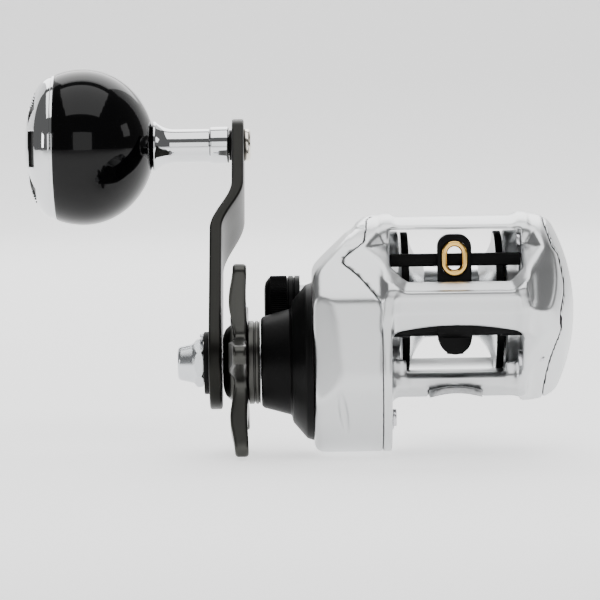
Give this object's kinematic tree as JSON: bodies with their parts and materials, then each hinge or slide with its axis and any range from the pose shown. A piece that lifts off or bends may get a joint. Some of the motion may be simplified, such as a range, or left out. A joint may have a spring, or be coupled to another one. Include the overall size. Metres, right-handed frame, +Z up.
{
  "type": "low-profile fishing reel",
  "caption": "Low-profile level-wind fishing reel with a single cranked power handle, round knob, star drag, thumb bar and a foot that clamps in a rod's reel seat.",
  "frame": {"origin": "on the centre line of the foot's underside, straight below the spool axis", "axes": "+X along the spool axis towards the palm side, +Y towards the rear, +Z up from the rod"},
  "size_m": [0.1621, 0.1154, 0.1115],
  "materials": {
    "silver": "satin anodised",
    "foot_metal": "satin, speckled on top",
    "black_case": "matte black",
    "black_trim": "matte black",
    "arm_metal": "dark grey anodised",
    "star_metal": "gunmetal anodised",
    "chrome": "polished",
    "nickel": "bright nickel",
    "nut_metal": "satin",
    "gloss_black": "high gloss",
    "gold": "gold nitride",
    "steel": "machined",
    "brass_gear": "machined",
    "drag_fibre": "woven carbon",
    "spool_metal": "machined",
    "brake_block": "moulded"
  },
  "bodies": {
    "root": {"frame": "silver", "reel_foot": "foot_metal", "foot_screws": "steel", "gear_side_cover": "silver", "gear_case_cap": "black_case", "palm_side_cover": "silver", "gear_cover_screws": "steel", "palm_cover_screws": "steel", "roller_clutch": "steel", "drive_outer_bearing": "steel", "drive_inner_bush": "black_trim", "spool_outer_bearing": "steel", "pinion_bearing": "steel", "palm_bearing": "steel", "brake_plate": "black_trim", "worm_gear_bush": "black_trim", "worm_palm_bush": "black_trim", "level_wind_guard": "black_case", "line_guide_rail": "black_case", "yoke_posts": "steel"},
    "handle": {"drive_shaft": "steel", "handle_arm": "arm_metal", "handle_nut": "nut_metal", "nut_retainer": "black_trim", "retainer_screw": "steel", "spring_washers": "steel", "clutch_sleeve": "steel", "drag_plate": "steel", "outer_drag_washer": "drag_fibre", "inner_drag_washer": "drag_fibre", "drive_gear": "brass_gear", "ratchet": "steel", "level_wind_drive_gear": "black_trim", "knob_spindle": "nickel"},
    "star": {"star_drag": "star_metal"},
    "drag_nut": {"drag_nut": "steel"},
    "knob": {"knob": "gloss_black", "knob_end_cap": "chrome", "knob_neck": "chrome", "knob_outer_bearing": "steel", "knob_inner_bearing": "steel", "knob_washer": "black_trim"},
    "spool": {"spool": "spool_metal", "spool_shaft": "steel", "clutch_pin": "steel", "brake_hub": "black_trim", "brake_blocks": "brake_block"},
    "yoke": {"yoke": "black_trim"},
    "pinion": {"pinion": "brass_gear"},
    "worm": {"worm": "steel", "worm_gear": "black_trim"},
    "line_guide": {"line_guide_carriage": "black_case", "line_ring": "gold", "pawl": "steel", "pawl_cap": "black_trim"},
    "thumb_bar": {"thumb_bar": "black_trim", "clutch_plate": "steel"},
    "cast_control": {"cast_control_knob": "black_case"}
  },
  "joints": [
    {"name": "handle_spin", "type": "hinge", "parent": "root", "child": "handle", "pos_m": [-0.06, -0.016, 0.00852], "axis": [1, 0, 0], "continuous": true},
    {"name": "knob_spin", "type": "hinge", "parent": "handle", "child": "knob", "pos_m": [-0.1, 0.04698, 0.06998], "axis": [1, 0, 0], "continuous": true},
    {"name": "star_turn", "type": "hinge", "parent": "handle", "child": "star", "pos_m": [-0.061, -0.016, 0.00852], "axis": [1, 0, 0], "range_deg": [-180, 180]},
    {"name": "drag_nut_creep", "type": "slide", "parent": "star", "child": "drag_nut", "axis": [1, 0, 0], "range_m": [-0.0005, 0.0005]},
    {"name": "spool_spin", "type": "hinge", "parent": "root", "child": "spool", "pos_m": [0, 0, 0.0242], "axis": [1, 0, 0], "continuous": true},
    {"name": "thumb_bar_slide", "type": "slide", "parent": "root", "child": "thumb_bar", "axis": [0, 0, 1], "range_m": [-0.005, 0]},
    {"name": "yoke_slide", "type": "slide", "parent": "root", "child": "yoke", "axis": [1, 0, 0], "range_m": [-0.0025, 0]},
    {"name": "pinion_spin", "type": "hinge", "parent": "yoke", "child": "pinion", "pos_m": [-0.028, 0, 0.0242], "axis": [1, 0, 0], "continuous": true},
    {"name": "worm_spin", "type": "hinge", "parent": "root", "child": "worm", "pos_m": [0, -0.0265, 0.02046], "axis": [1, 0, 0], "continuous": true},
    {"name": "line_guide_slide", "type": "slide", "parent": "root", "child": "line_guide", "axis": [1, 0, 0], "range_m": [-0.0095, 0.0095]},
    {"name": "cast_control_turn", "type": "hinge", "parent": "root", "child": "cast_control", "pos_m": [-0.05, 0, 0.0242], "axis": [1, 0, 0], "range_deg": [-180, 180]}
  ],
  "couplings": [
    {"joint": "drag_nut_creep", "follows": "star_turn", "m_per_rad": 0.00011937},
    {"joint": "spool_spin", "follows": "handle_spin", "ratio": -7.6154},
    {"joint": "pinion_spin", "follows": "handle_spin", "ratio": -7.6154},
    {"joint": "worm_spin", "follows": "handle_spin", "ratio": -1.5238},
    {"joint": "yoke_slide", "follows": "thumb_bar_slide", "ratio": 0.5}
  ]
}
